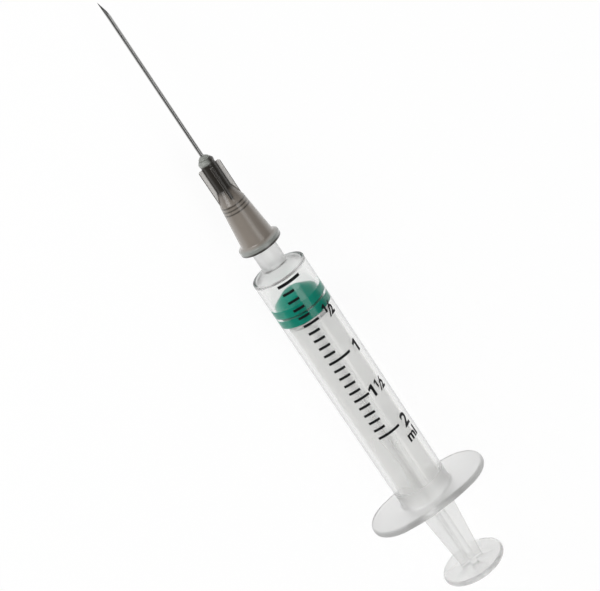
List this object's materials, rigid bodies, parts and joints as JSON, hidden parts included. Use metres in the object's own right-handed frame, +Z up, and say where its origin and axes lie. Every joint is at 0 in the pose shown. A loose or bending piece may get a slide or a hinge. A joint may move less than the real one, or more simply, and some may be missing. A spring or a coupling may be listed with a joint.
{
  "type": "syringe with needle",
  "caption": "Clear slip-tip syringe with a rubber stopper, a cross-ribbed plunger, a finger flange and a smoke-tinted hub with a bevelled steel needle.",
  "frame": {"origin": "on the resting surface, under the middle of the part's box", "axes": "+X along the common axis toward the thumb pad, the needle points to -X; +Y along the long way of the finger flange; +Z up, through the scale"},
  "size_m": [0.125, 0.024, 0.0145],
  "materials": {
    "barrel_plastic": "clear, glossy",
    "black_ink": "printed",
    "stopper_rubber": "satin",
    "rod_plastic": "translucent, glossy",
    "hub_plastic": "smoke-tinted, glossy",
    "needle_steel": "ground",
    "needle_glue": "cured, glossy"
  },
  "bodies": {
    "barrel": {"barrel": "barrel_plastic", "graduation_marks": "black_ink"},
    "stopper": {"stopper": "stopper_rubber"},
    "rod": {"plunger_rod": "rod_plastic"},
    "needle": {"needle_hub": "hub_plastic", "needle_cannula": "needle_steel", "needle_adhesive": "needle_glue"}
  },
  "joints": [
    {"name": "plunger_slide", "type": "slide", "parent": "barrel", "child": "stopper", "axis": [1, 0, 0], "range_m": [-0.0045, 0.0397]},
    {"name": "rod_twist", "type": "hinge", "parent": "stopper", "child": "rod", "pos_m": [0, 0, 0.00725], "axis": [1, 0, 0], "continuous": true},
    {"name": "needle_pull", "type": "slide", "parent": "barrel", "child": "needle", "axis": [-1, 0, 0], "range_m": [0, 0.012]}
  ]
}
